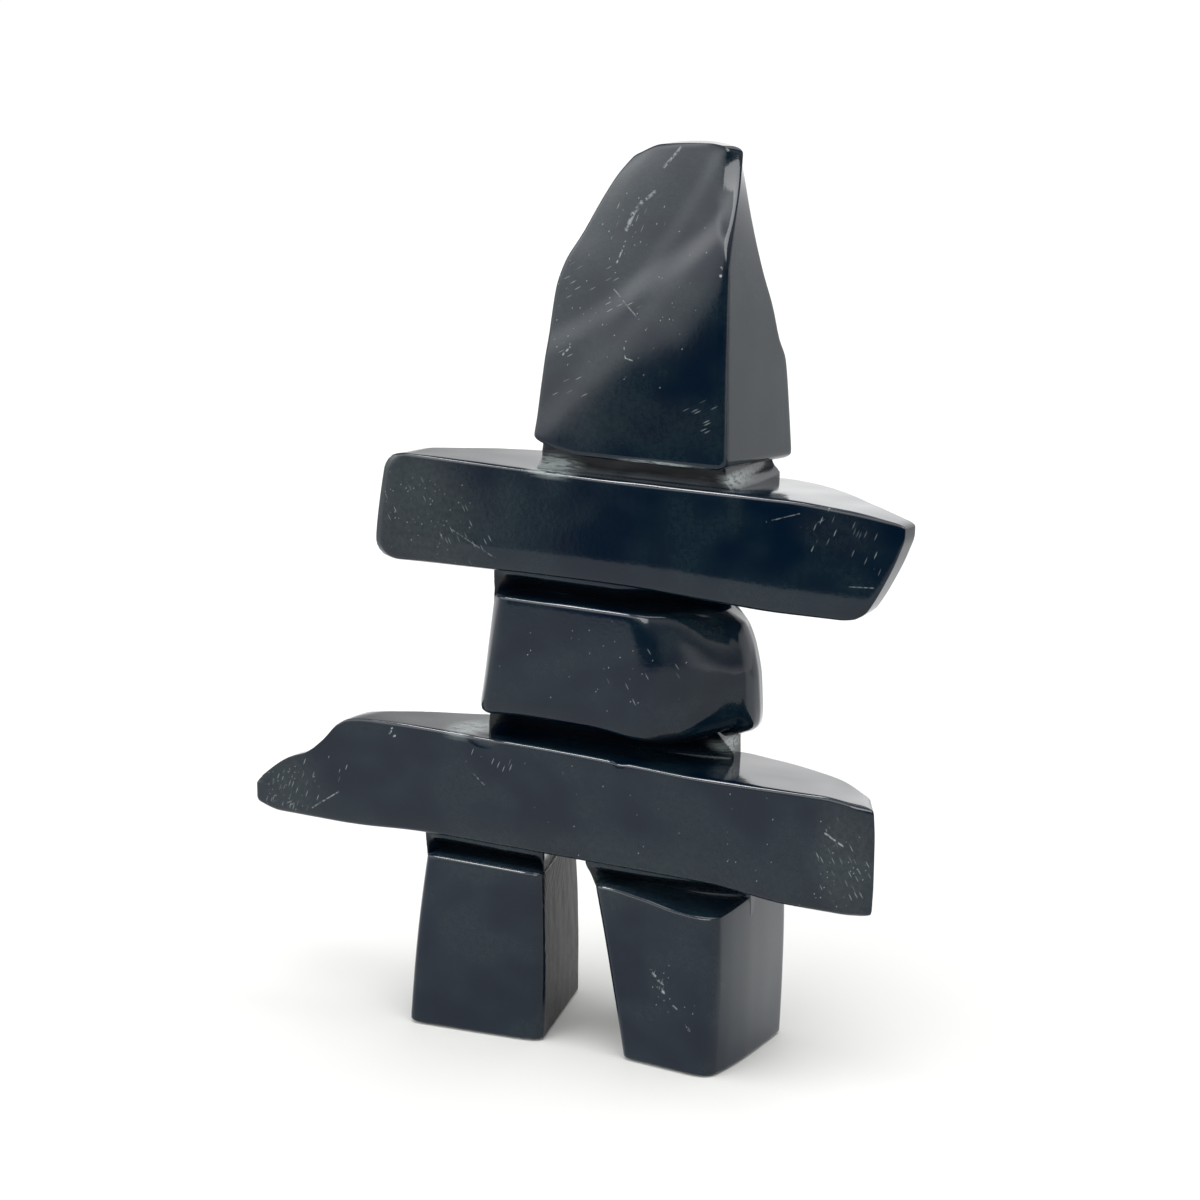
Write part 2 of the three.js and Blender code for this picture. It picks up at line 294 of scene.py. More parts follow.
# Body: wider at its base, with a broad slanting facet from the front round to the right side
body = {
    "left": -27, "length": 76.2, "rounding": (3.2, 1.2, 1.1),
    "leftTurn": 2, "leftRound": (2.4, 0.8), "rightTurn": 4, "rightRound": (4.6, 1.6),
    "facetBarrel": 2, "barrelEdge": (0.86, 0.97), "backLean": 2,
    "curves": {
        "leftSlant": ((0, 0), (0.2, 1.5), (0.6, 3.5), (1, 5.4)),
        "rightSlant": ((0, 1.8), (0.1, 0.5), (0.25, 0), (0.5, 0.1), (0.75, 1.3), (0.92, 3.2), (1, 4.8)),
        "rightSwell": ((0, 6), (0.2, 2.8), (0.42, 0.8), (0.65, 0), (1, 0)),
        "facetFoot": (
            (0, 2.8), (0.035, 0.6), (0.06, 0), (0.69, 0), (0.74, 0.6), (0.83, 4.2), (0.93, 9.6), (1, 14.5),
        ),
        "facetTop": (
            (0, 3.4), (0.05, 0.9), (0.08, 0), (0.69, 0), (0.74, 0.4), (0.83, 3.6), (0.93, 8.8), (1, 13.6),
        ),
        "foot": ((0, 1.4), (0.05, 0.7), (0.12, 0.15), (0.2, 0), (1, 0)),
        "heel": (
            (0, -1.2), (0.1, -0.4), (0.25, 0), (0.5, 0), (0.72, -1.4), (0.86, -2.6), (0.95, -1.8), (1, -0.6),
        ),
        "crown": ((0, 0), (0.82, 0), (0.92, 1), (1, 3.4)),
        "backRound": ((0, 11), (0.12, 6), (0.3, 4), (0.75, 4), (0.92, 7), (1, 10)),
    },
}


def addBody(stones):
    tall = slab["bodyHeight"]
    curve = curvesOf(body)

    def leftSide(v, w):
        return curve["leftSlant"](w) + body["leftTurn"] * v + endRound(w, tall, *body["leftRound"])

    def rightSide(v, w):
        slant = curve["rightSlant"](w) + curve["rightSwell"](v) + body["rightTurn"] * v
        return slant + endRound(w, tall, *body["rightRound"])

    def front(u, w):
        barrel = body["facetBarrel"] * (2 * w - 1) ** 2 * fade(u, *body["barrelEdge"])
        return curve["facetFoot"](u) * (1 - w) + curve["facetTop"](u) * w + curve["foot"](w) + barrel

    cutStone(stones, body, bodyBase, tall, {
        "left": leftSide,
        "right": rightSide,
        "front": front,
        "back": lambda u, w: curve["backRound"](u) + body["backLean"] * w,
        "bottom": lambda u, v: curve["heel"](u) - slab["topFall"] * v,
        "top": lambda u, v: curve["crown"](u),
    })


# Upper arm: square at the left, undercut to a point at the right
upperArm = {
    "left": -57, "length": 152.4, "rounding": (2.4, 1.3, 1.1),
    "leftRound": (5.6, 5), "rightRound": (4, 1.2), "edgeTo": 0.02, "edgeDrop": 0.7,
    "curves": {
        "leftSlant": ((0, 0), (0.3, 0.8), (0.8, 3.2), (1, 4.6)),
        "undercut": ((0, 12.4), (0.12, 9.6), (0.42, 5), (0.72, 1.4), (0.9, 0), (1, 0)),
        "foot": ((0, 1.3), (0.05, 0.65), (0.12, 0.22), (0.25, 0), (1, 0)),
        "topLine": ((0, 0), (0.2, 0.3), (0.5, 0.9), (0.78, 0.7), (0.9, 1.8), (1, 3.6)),
        "belly": ((0, 0.4), (0.15, 0.8), (0.5, 1.4), (0.7, 0.6), (0.85, 0), (1, 0.4)),
        "boat": (
            (0, 0.63), (0.045, 0.474), (0.117, 0.276), (0.2, 0.121), (0.31, 0.068), (0.67, 0.068),
            (0.73, 0.142), (0.78, 0.247), (0.845, 0.42), (0.91, 0.605), (0.96, 0.737), (1, 0.83),
        ),
    },
}


def addUpperArm(stones):
    arm = upperArm
    tall = slab["upperArmHeight"]
    curve = curvesOf(arm)
    cutStone(stones, arm, upperArmBase, tall, {
        "left": lambda v, w: curve["leftSlant"](w) + endRound(w, tall, *arm["leftRound"]),
        "right": lambda v, w: curve["undercut"](w) + endRound(w, tall, *arm["rightRound"]),
        "front": lambda u, w: curve["foot"](w) + arm["edgeDrop"] * fade(u, arm["edgeTo"], 0),
        "back": lambda u, w: slab["depth"] * curve["boat"](u),
        "bottom": lambda u, v: curve["belly"](u),
        "top": lambda u, v: curve["topLine"](u) + slab["topFall"] * v * (1 - curve["boat"](u)),
    })


# Head: thick at the base and thin at the crown, with a soft ridge climbing from the lower left, a bevel
# at the top of the right arris, and folds where the hand-shaped front steps back. Each fold has two
# points x, z on it, its width and its step
head = {
    "left": -9.3, "length": 56.5, "rounding": (2, 1.6, 1.6), "ridgeSoftness": 0.085, "lean": 9.4,
    "leftTurn": 2, "leftRound": (2.2, 1),
    "rightTwist": 4.4, "rightSwell": 0.4, "rightTurn": 1.6, "rightRound": (2.4, 2), "napeTurn": 0.21,
    "folds": (
        ((-2.5, 192), (38.5, 218.5), 8, 0.7),
        ((-5, 168.5), (13.5, 189.5), 8, 0.55),
        ((28, 224), (37, 239), 7, 0.35),
    ),
    "curves": {
        "leftSlant": (
            (0, 0.6), (0.035, 1), (0.2, 2.2), (0.43, 3.7), (0.53, 4.6), (0.62, 6.8),
            (0.72, 11.4), (0.865, 17.6), (0.93, 20.8), (1, 25.4),
        ),
        "nape": (
            (0, 0.053), (0.17, 0.105), (0.32, 0.153), (0.395, 0.253), (0.494, 0.337), (0.625, 0.484),
            (0.776, 0.61), (0.907, 0.684), (1, 0.737),
        ),
        "crown": ((0, 4.2), (0.25, 1.3), (0.75, 0.2), (1, 0.6)),
        "jaw": ((0, 2.6), (0.1, 1), (0.26, -0.4), (0.5, -0.3), (1, 0)),
        "bevelStart": ((0.66, 0.985), (0.72, 0.945), (0.8, 0.885), (0.88, 0.865), (0.95, 0.87), (1, 0.9)),
        "bevelDepth": ((0.64, 0), (0.7, 0.9), (0.8, 2.6), (0.9, 4), (1, 4.6)),
        "ridge": ((0, 0.04), (0.2, 0.18), (0.42, 0.3), (0.7, 0.4), (0.84, 0.52), (1, 0.7)),
    },
}


def addHead(stones):
    tall = slab["headHeight"]
    curve = curvesOf(head)

    def foldSteps(x, z):
        steps = 0
        for (x1, z1), (x2, z2), width, height in head["folds"]:
            along = math.hypot(x2 - x1, z2 - z1)
            off = ((z - z1) * (x2 - x1) - (x - x1) * (z2 - z1)) / along
            steps = steps + height * fade(off, -width / 2, width / 2)
        return steps

    def front(u, w):
        above = w - curve["ridge"](u)
        softAbove = (above + np.hypot(above, head["ridgeSoftness"])) / 2
        steps = foldSteps(head["left"] + head["length"] * u, headBase + tall * w)
        start = curve["bevelStart"](w)
        across = np.clip((u - start) / (1 - start), 0, 1)
        return head["lean"] * softAbove + steps * (1 - across) + curve["bevelDepth"](w) * across

    def leftSide(v, w):
        return curve["leftSlant"](w) + head["leftTurn"] * v + endRound(w, tall, *head["leftRound"])

    def rightSide(v, w):
        twist = head["rightTwist"] * v * w * w - head["rightSwell"] * w - head["rightTurn"] * v
        return twist + endRound(w, tall, *head["rightRound"])

    cutStone(stones, head, headBase, tall, {
        "left": leftSide,
        "right": rightSide,
        "front": front,
        "back": lambda u, w: slab["depth"] * (curve["nape"](w) - head["napeTurn"] * w * (1 - u)),
        "bottom": lambda u, v: curve["jaw"](u) * (1 - v) ** 2 - slab["topFall"] * v,
        "top": lambda u, v: curve["crown"](u),
    })


# Necks: the stone that each is as long as, the groove that it fills, and how far it stands in from that
# stone's ends and from the slab's front and back. An overhang is how much deeper the groove is at its
# floor than at its ceiling, as a share of its height, and a squareEnd of 1 fades it out at the right end
necks = {
    "leftHip": {
        "owner": leftLeg, "floor": slab["legHeight"], "ceiling": lowerArmBase,
        "left": 1.2, "right": 1, "front": 2.6, "back": 5, "overhang": 1.6, "squareEnd": 1,
        "leftTurn": 3.4, "leftFoot": 1.6, "rightTurn": 8.3,
        "curves": {"boat": ((0, 0.37), (0.5, 0.16), (1, 0.05))},
    },
    "rightHip": {
        "owner": rightLeg, "floor": slab["legHeight"], "ceiling": lowerArmBase,
        "left": 0.2, "right": 0.6, "front": 2.6, "back": 8, "overhang": 1.6, "squareEnd": 0,
        "leftTurn": 1.5, "frontTurn": 6,
        "curves": {
            "arch": (
                (0, 4), (0.2, 1.2), (0.32, -0.6), (0.42, -1.7), (0.5, -2.6), (0.58, -3.7), (0.64, -4),
                (1, -4),
            ),
        },
    },
    "waist": {
        "owner": body, "floor": lowerArmTop, "ceiling": bodyBase,
        "left": 2.8, "right": 11, "front": 3, "back": 9, "overhang": 1.2, "squareEnd": 0,
        "leftTurn": 3, "leftLean": 2.2, "backTurn": 5,
        "curves": {"front": ((0, 0), (0.4, 0), (0.6, 2), (0.8, 6), (1, 11))},
    },
    "chest": {
        "owner": body, "floor": bodyTop, "ceiling": upperArmBase,
        "left": 5.5, "right": 12, "front": 2.6, "back": 8, "overhang": 1.4, "squareEnd": 0,
        "leftTurn": 3, "backTurn": 6,
        "curves": {"front": ((0, 0), (0.6, 0), (0.8, 4), (1, 13))},
    },
    "throat": {
        "owner": head, "floor": upperArmTop, "ceiling": headBase,
        "left": 1, "right": 2.6, "front": 4.4, "back": 6, "overhang": 0.3, "squareEnd": 0,
        "leftTurn": 2.4, "leftFlare": 0.5, "leftLean": 1.7, "frontFlare": 0.3,
        "curves": {"flare": ((0, -2.6), (0.34, -2.6), (0.42, -0.9), (0.52, 0), (1, 0))},
    },
}

# What the necks share: where the overhang stops above and below, and where it fades at either end
neckCut = {"rounding": (1, 1, 2), "overhangEnds": (-0.15, 1.3), "leftEnd": (0, 0.12), "rightEnd": (0.93, 1)}


def addNeck(stones, neck, faces):
    reach = slab["neckReach"]
    groove = neck["ceiling"] - neck["floor"]
    owner = neck["owner"]
    at = (owner["left"] + neck["left"], neck["front"], neck["floor"] - reach)
    size = (
        owner["length"] - neck["left"] - neck["right"],
        slab["depth"] - neck["front"] - neck["back"],
        groove + 2 * reach,
    )
    front = faces.get("front", flat)

    def overhung(u, w):
        below = neck["ceiling"] + reach - neck["floor"] - w * size[2]
        low = np.clip(below / groove, *neckCut["overhangEnds"])
        ends = fade(u, *neckCut["leftEnd"]) * (1 - neck["squareEnd"] * fade(u, *neckCut["rightEnd"]))
        return front(u, w) + neck["overhang"] * groove * low * ends

    addStone(stones, at, size, neckCut["rounding"], dict(faces, front=overhung), slab["neckStep"])


def addHips(stones):
    left = necks["leftHip"]
    right = necks["rightHip"]
    boat = curvesOf(left)["boat"]
    arch = curvesOf(right)["arch"]
    addNeck(stones, left, {
        "left": lambda v, w: left["leftTurn"] * v + left["leftFoot"] * (1 - w),
        "right": lambda v, w: left["rightTurn"] * v,
        "back": lambda u, w: slab["depth"] * boat(u),
    })
    addNeck(stones, right, {
        "left": lambda v, w: arch(w) - right["leftTurn"] * v,
        "front": lambda u, w: right["frontTurn"] * u ** 3,
    })


def addWaistAndChest(stones):
    waist = necks["waist"]
    chest = necks["chest"]
    waistFront = curvesOf(waist)["front"]
    chestFront = curvesOf(chest)["front"]
    addNeck(stones, waist, {
        "left": lambda v, w: waist["leftTurn"] * v + waist["leftLean"] * w * w,
        "front": lambda u, w: waistFront(u),
        "back": lambda u, w: waist["backTurn"] * (1 - u) ** 3,
    })
    addNeck(stones, chest, {
        "left": lambda v, w: chest["leftTurn"] * v,
        "front": lambda u, w: chestFront(u),
        "back": lambda u, w: chest["backTurn"] * (1 - u) ** 3 + chest["backTurn"] * u ** 3,
    })


def addThroat(stones):
    neck = necks["throat"]
    flare = curvesOf(neck)["flare"]
    addNeck(stones, neck, {
        "left": lambda v, w: neck["leftTurn"] * v + neck["leftFlare"] * flare(w) + neck["leftLean"] * w * w,
        "right": lambda v, w: flare(w),
        "front": lambda u, w: neck["frontFlare"] * flare(w),
    })


carving = {"weld": 0.02, "creaseAngle": 48}


# The carving: all stones and necks joined into one closed skin
def joinTogether(stones):
    first, *others = stones.objects
    for other in others:
        join = first.modifiers.new("join", "BOOLEAN")
        join.operation = "UNION"
        join.solver = "MANIFOLD"
        join.object = other
    shown = first.evaluated_get(bpy.context.evaluated_depsgraph_get())
    skin = bpy.data.meshes.new_from_object(shown)
    skin.materials.clear()
    for block in (first, *others):
        mesh = block.data
        bpy.data.objects.remove(block)
        bpy.data.meshes.remove(mesh)
    bpy.data.collections.remove(stones)
    bm = bmesh.new()
    bm.from_mesh(skin)
    bmesh.ops.remove_doubles(bm, verts=bm.verts, dist=carving["weld"] * mm)
    bmesh.ops.dissolve_degenerate(bm, edges=bm.edges, dist=carving["weld"] * mm)
    bm.to_mesh(skin)
    bm.free()
    return skin


# Where the sawn finish and the painted shade of the five grooves fade out: millimetres outside and inside the
# groove's floor and ceiling, beyond the neck's two ends and behind the front, and how far it's polished away
# on faces that look to the right
sawingAndShade = {
    "outside": 0.8, "inside": 0.6, "leftEnd": (4, 1), "rightEnd": (5, 2), "behindFront": (1.4, 3),
    "sideFacing": (0.5, 0.8), "sidePolish": 0.85,
}


# How far each place lies inside a groove, from 0 on the polished stone to 1 on the neck's own face
def grooveShare(place, facing):
    x, y, z = place.T
    share = np.zeros(len(place))
    outside, inside = sawingAndShade["outside"], sawingAndShade["inside"]
    leftOuter, leftInner = sawingAndShade["leftEnd"]
    rightOuter, rightInner = sawingAndShade["rightEnd"]
    for neck in necks.values():
        owner = neck["owner"]
        left = owner["left"] + neck["left"]
        right = owner["left"] + owner["length"] - neck["right"]
        overFloor = fade(z, neck["floor"] - outside, neck["floor"] + inside)
        underCeiling = fade(z, neck["ceiling"] + outside, neck["ceiling"] - inside)
        wide = fade(x, left - leftOuter, left - leftInner) * fade(x, right + rightOuter, right + rightInner)
        share = np.maximum(share, overFloor * underCeiling * wide)
    polished = sawingAndShade["sidePolish"] * fade(facing[:, 0], *sawingAndShade["sideFacing"])
    return share * fade(y, *sawingAndShade["behindFront"]) * (1 - polished)


# The handwork, in millimetres. Each row of noise has the length of its waves along x, y and z, its
# height and its seed. The left leg's inner side is rasped where all of the raspedWhere fades meet
handWork = {
    "seedStep": 7.31,
    "swells": (((26, 26, 26), 0.11, 1), ((11, 11, 11), 0.035, 2)), "topSwell": 1.6, "topFacing": (0.6, 0.9),
    "sawTeeth": (((16, 9, 1.9), 1, 3), ((4, 4, 3.4), 0.6, 4)), "sawDepth": 0.2,
    "raspFlutes": (((9, 3.2, 14), 1, 5),), "raspBase": 0.5, "raspDepth": 0.22,
    "raspedWhere": (("facing", 0.6, 0.85), ("z", 52, 49), ("x", -20, -18), ("x", 2, 1), ("y", 1, 3)),
    "clouds": (((22, 14, 14), 1.2, 6), ((9, 6, 6), 0.8, 7)), "cloudBase": 0.5,
    "frontFacing": (-0.55, -0.8), "frontDepth": (9, 7),
    "knockEdge": (1.25, 0.3), "dustEdge": (1.15, 0.35), "wearAndSheenEdge": (1.1, 0.35),
}

# Knocks: place, reach along x, y and z, and depth, in slab millimetres
knocks = {
    "tip": ((-96.2, 3, 60), (2.4, 9, 1.5), 0.25),
    "armDip": ((-23, 0.5, 82.6), (5.5, 4, 2.4), 0.35),
    "armNick": ((17.5, 0.6, 82.4), (2, 2.6, 1.2), 0.45),
}

# Pale rasped patches beside the necks: middle, reach along x, y and z, and strength
dustPatches = {
    "throatLeft": ((-3, 2, 157.5), (9, 6, 3.2), 0.9),
    "throatMiddle": ((14, 2.4, 158.4), (14, 3, 2), 0.25),
    "throatLip": ((29, 0.6, 161.6), (13, 1.2, 0.7), 0.9),
    "throatRight": ((48, 9, 158), (6, 17, 2), 1),
    "waistLeft": ((-31.5, 9, 82.6), (7, 11, 3), 1),
    "waistRight": ((38, 21, 83.6), (5, 8, 3.5), 1),
    "chestLeft": ((-22.5, 4, 125.4), (1.6, 3, 1.4), 0.8),
    "chestRight": ((38, 10, 122), (2.6, 5, 1.8), 0.5),
}

# Worn patches on the front, and haze on every side that is partly a real pale bloom and partly painted sheen:
# middle x and z, reach along each, and how thick the marks lie
wearAndSheenPatches = {
    "steepScratches": (
        (-87, 58, 13, 8, 0.9), (-75, 66, 9, 7, 0.4), (79, 149.5, 13, 7, 0.6), (86, 146, 5, 7, 0.5),
        (-19, 77, 9, 5, 0.35), (31, 24, 5, 6, 0.4), (19, 221, 10, 11, 0.4),
    ),
    "backScratches": (
        (-44, 145, 15, 13, 0.16), (-26, 138, 12, 10, 0.35), (79, 66, 9, 11, 0.55), (84, 61, 4, 11, 0.8),
        (68, 57, 8, 5, 0.3), (24, 106, 12, 9, 0.15),
    ),
    "flatScratches": (
        (5, 206, 12, 9, 0.3), (1, 180, 9, 10, 0.35), (41, 175.5, 7, 6, 0.6), (13, 203, 11, 7, 0.3),
        (-88, 55, 9, 4, 0.5), (70, 151, 8, 3, 0.4),
    ),
    "flecks": (
        (-42, 142, 20, 16, 0.13), (31, 23, 6, 8, 0.22), (38, 15, 4, 6, 0.18), (80, 64, 12, 14, 0.12),
        (10, 106, 36, 16, 0.04), (14, 205, 30, 38, 0.05), (-86, 60, 14, 12, 0.2), (-12, 77, 20, 7, 0.05),
        (30, 70, 50, 20, 0.02), (17, 219, 12, 13, 0.14),
    ),
    # Haze: partly a real pale bloom and partly painted sheen, lightening the arms' ends and the right sides
    "hazeAndSheen": (
        (-42, 142, 24, 22, 0.8), (82, 66, 12, 20, 0.8), (-88, 60, 16, 14, 0.6), (78, 150, 14, 8, 0.3),
        (20, 172, 40, 9, 0.3), (24, 52, 90, 12, 0.3), (50, 190, 4, 46, 0.7), (50, 30, 5, 24, 0.6),
    ),
}


# Smooth noise at each place: the rows' waves on top of start, each from about -1 to 1 times its height
def ripples(place, rows, start=0.0):
    total = np.full(len(place), start)
    for waves, height, seed in rows:
        points = place / np.array(waves, float) + seed * handWork["seedStep"]
        total += height * np.array([noise.noise(Vector(point)) for point in points])
    return total


# 1 in the middle of a patch and 0 beyond its reach
def patchAt(place, middle, reach, edge):
    return fade(np.linalg.norm((place - middle) / reach, axis=1), *edge)


# Patches of wear, and of haze that is partly painted sheen, spread over the places, as far as each counts as
# front
def spreadWearAndSheen(place, front, patches):
    thick = np.zeros(len(place))
    for x, z, acrossReach, upReach, strength in patches:
        away = np.hypot((place[:, 0] - x) / acrossReach, (place[:, 2] - z) / upReach)
        thick = np.maximum(thick, strength * fade(away, *handWork["wearAndSheenEdge"]))
    return thick * front


# The places moved by the carver's tools, and how much of each finish and mark lies on them, among them the
# groove share that paints shade in the grooves and the haze that is partly painted sheen
def workByHand(place, facing):
    x, y, z = place.T
    groove = grooveShare(place, facing)
    measures = {"facing": facing[:, 0], "x": x, "y": y, "z": z}
    sawn = np.ones(len(place))
    for measure, start, end in handWork["raspedWhere"]:
        sawn *= fade(measures[measure], start, end)
    move = ripples(place, handWork["swells"])
    move *= 1 + handWork["topSwell"] * fade(facing[:, 2], *handWork["topFacing"])
    move += handWork["sawDepth"] * groove * ripples(place, handWork["sawTeeth"])
    move -= handWork["raspDepth"] * sawn * ripples(place, handWork["raspFlutes"], handWork["raspBase"])
    for middle, reach, depth in knocks.values():
        move -= depth * patchAt(place, middle, reach, handWork["knockEdge"])
    dust = np.zeros(len(place))
    for middle, reach, strength in dustPatches.values():
        dust = np.maximum(dust, strength * patchAt(place, middle, reach, handWork["dustEdge"]))
    front = fade(facing[:, 1], *handWork["frontFacing"]) * fade(y, *handWork["frontDepth"])
    clouds = np.clip(ripples(place, handWork["clouds"], handWork["cloudBase"]), 0, 1)
    finish = {"groove": groove, "sawn": sawn, "dust": dust, "front": front, "clouds": clouds}
    for name, patches in wearAndSheenPatches.items():
        # The haze, partly painted sheen, lies on all sides; the other marks only on the front
        finish[name] = spreadWearAndSheen(place, 1 if name == "hazeAndSheen" else front, patches)  # haze lies on all sides
    return place + facing * move[:, None], finish


def readVectors(data, name):
    values = np.empty(len(data) * 3)
    data.foreach_get(name, values)
    return values.reshape(-1, 3)


def makeCarving():
    stones = bpy.data.collections.new("stones")
    bpy.context.scene.collection.children.link(stones)
    for add in (addLeftLeg, addRightLeg, addLowerArm, addBody, addUpperArm, addHead):
        add(stones)
    for add in (addHips, addWaistAndChest, addThroat):
        add(stones)
    say("stones and necks blocked out")
    mesh = joinTogether(stones)
    mesh.calc_loop_triangles()
    say(f"one skin of {len(mesh.loop_triangles)} triangles")
    place = readVectors(mesh.vertices, "co") / mm
    facing = readVectors(mesh.vertex_normals, "vector")
    worked, finish = workByHand(place, facing)
    worked[:, 2] = np.maximum(worked[:, 2], place[:, 2].min())
    for name, share in finish.items():
        mesh.attributes.new(name, "FLOAT", "POINT").data.foreach_set("value", share.astype(np.float32))
    say("worked by hand")
    low, high = (np.array(corner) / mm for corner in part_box("inukshuk_carving"))
    shift = (low + high) / 2 - (place.min(0) + place.max(0)) / 2
    shift[2] = low[2] - place[:, 2].min()
    mesh.vertices.foreach_set("co", ((worked + shift) * mm).ravel())
    mesh.shade_smooth()
    mesh.set_sharp_from_angle(angle=math.radians(carving["creaseAngle"]))
    piece = bpy.data.objects.new("carved_black_stone", mesh)
    bpy.context.scene.collection.objects.link(piece)
    return piece, shift


# A shader node whose inputs are plain values or other nodes' outputs
def addNode(tree, kind, inputs=None, **settings):
    made = tree.nodes.new("ShaderNode" + kind)
    for name, value in settings.items():
        setattr(made, name, value)
    for socket, value in (inputs or {}).items():
        if isinstance(value, bpy.types.NodeSocket):
            tree.links.new(value, made.inputs[socket])
        else:
            made.inputs[socket].default_value = value
    return made


# A Mix node's colour sockets are its inputs 6 and 7 and its output 2
def mixColours(tree, share, first, second):
    return addNode(tree, "Mix", {0: share, 6: first, 7: second}, data_type="RGBA").outputs[2]


def blend(tree, share, first, second):
    return addNode(tree, "Mix", {0: share, 2: first, 3: second}, data_type="FLOAT").outputs[0]


def calculate(tree, operation, first, second, clamp=False):
    return addNode(tree, "Math", {0: first, 1: second}, operation=operation, use_clamp=clamp).outputs[0]


def multiply(tree, first, second):
    return calculate(tree, "MULTIPLY", first, second)


def vector(tree, operation, first, second):
    made = addNode(tree, "VectorMath", {0: first, 1: second}, operation=operation)
    return made.outputs["Value" if operation in ("DOT_PRODUCT", "DISTANCE") else "Vector"]


def spread(tree, value, low, high, start=0.0, end=1.0):
    return addNode(
        tree, "MapRange", {"Value": value, "From Min": low, "From Max": high, "To Min": start, "To Max": end},
        interpolation_type="SMOOTHSTEP",
    ).outputs[0]


def noiseAt(tree, point, scale, detail, roughness=0.55, stretch=(1, 1, 1)):
    stretched = addNode(tree, "Mapping", {"Vector": point, "Scale": stretch}).outputs[0]
    made = addNode(
        tree, "TexNoise", {"Vector": stretched, "Scale": scale, "Detail": detail, "Roughness": roughness},
    )
    return made.outputs[0]


def newGroup(name, inputs):
    tree = bpy.data.node_groups.new(name, "ShaderNodeTree")
    for socket, kind in inputs.items():
        tree.interface.new_socket(socket, in_out="INPUT", socket_type="NodeSocket" + kind)
    tree.interface.new_socket("Mask", in_out="OUTPUT", socket_type="NodeSocketFloat")
    return tree, tree.nodes.new("NodeGroupInput").outputs


def finishGroup(tree, mask):
    tree.links.new(mask, tree.nodes.new("NodeGroupOutput").inputs["Mask"])
    return tree


# Marks: where a scratch's and a dash's edges fade, in shares of the width or the spacing, how pale the
# faintest dash is, and the noise that breaks the scratches up
marking = {
    "scratchEdge": (1.0, 0.3), "dashEdge": (0.2, 0.07), "faintest": 0.25,
    "broken": {"scale": 0.9, "detail": 1}, "brokenRange": (0.35, 0.6),
}

# The longer scratches on the front: x and z of each end, width and strength
scratches = (
    (30.2, 239.3, 25.8, 234.4, 0.5, 0.75), (15.6, 214.4, 13.9, 210.3, 0.3, 0.6),
    (13.6, 203.7, 22.1, 197.2, 0.22, 0.35), (18.3, 189.9, 19, 187.4, 0.32, 0.8),
    (19, 187.4, 21, 186.9, 0.24, 0.6), (1.7, 188.3, -0.3, 186.3, 0.32, 0.6),
    (45.2, 209.8, 45.3, 211.6, 0.55, 0.9), (-32, 137.9, -19, 131.7, 0.2, 0.3),
    (58.6, 150.2, 67.5, 153.2, 0.22, 0.3), (81.2, 136.5, 87.7, 137, 0.2, 0.4),
    (16, 218.6, 17.6, 222.4, 0.8, 0.5), (18.4, 223.4, 20, 225.4, 0.7, 0.45),
    (21.4, 226.4, 23.6, 228.2, 0.6, 0.4), (-52.6, 79.5, -52.1, 80.2, 0.35, 0.9),
    (-51.3, 78.9, -50.9, 79.1, 0.4, 0.9), (-52, 80.9, -51.7, 81.1, 0.3, 0.7),
    (27.2, 26.8, 28.4, 25.6, 0.6, 0.6), (29, 25, 30.6, 24, 0.5, 0.5),
    (30, 22.6, 31, 21.6, 0.6, 0.6), (34, 18.4, 35, 17.8, 0.35, 0.4),
    (37.8, 13.8, 38.8, 12.6, 0.45, 0.5), (-78.4, 54.3, -69.6, 60.3, 0.26, 0.5),
    (-26.4, 72.2, -23, 69.6, 0.22, 0.35), (76, 72.6, 81, 70, 0.35, 0.6),
)

# Fields of small marks: turn in degrees, spacing across and along, and strength
dashFields = {
    "steepScratches": (22, (0.9, 6.5), 0.45),
    "backScratches": (-28, (0.9, 6), 0.42),
    "flatScratches": (62, (0.9, 7), 0.36),
    "flecks": (35, (0.9, 1.5), 0.55),
}


# Group: one straight scratch between two points of the front
def scratchGroup():
    tree, given = newGroup("scratch", {
        "Point": "Vector", "From": "Vector", "Length": "Vector", "Width": "Float",
    })
    length = given["Length"]
    offset = vector(tree, "SUBTRACT", given["Point"], given["From"])
    reached = vector(tree, "DOT_PRODUCT", offset, length)
    along = calculate(tree, "DIVIDE", reached, vector(tree, "DOT_PRODUCT", length, length), clamp=True)
    nearest = addNode(tree, "VectorMath", {0: length, "Scale": along}, operation="SCALE").outputs[0]
    away = calculate(tree, "DIVIDE", vector(tree, "DISTANCE", offset, nearest), given["Width"])
    return finishGroup(tree, spread(tree, away, *marking["scratchEdge"]))


# Group: many small straight marks that run one way, the more of them the higher the density
def dashGroup():
    tree, given = newGroup("dashes", {
        "Point": "Vector", "Turn": "Vector", "Spacing": "Vector", "Density": "Float",
    })
    turned = addNode(tree, "Mapping", {"Vector": given["Point"], "Rotation": given["Turn"]}).outputs[0]
    cells = addNode(
        tree, "TexVoronoi", {"Vector": vector(tree, "DIVIDE", turned, given["Spacing"]), "Scale": 1.0},
        voronoi_dimensions="2D",
    )
    chance = addNode(tree, "SeparateXYZ", {0: cells.outputs["Color"]}).outputs
    shown = calculate(tree, "LESS_THAN", chance["X"], given["Density"])
    drawn = spread(tree, cells.outputs["Distance"], *marking["dashEdge"])
    strength = spread(tree, chance["Y"], 0.0, 1.0, marking["faintest"], 1.0)
    return finishGroup(tree, multiply(tree, multiply(tree, drawn, shown), strength))


# How much of a finish or mark the mesh holds at each place
def amountOf(tree, name):
    return addNode(tree, "Attribute", attribute_name=name).outputs["Fac"]


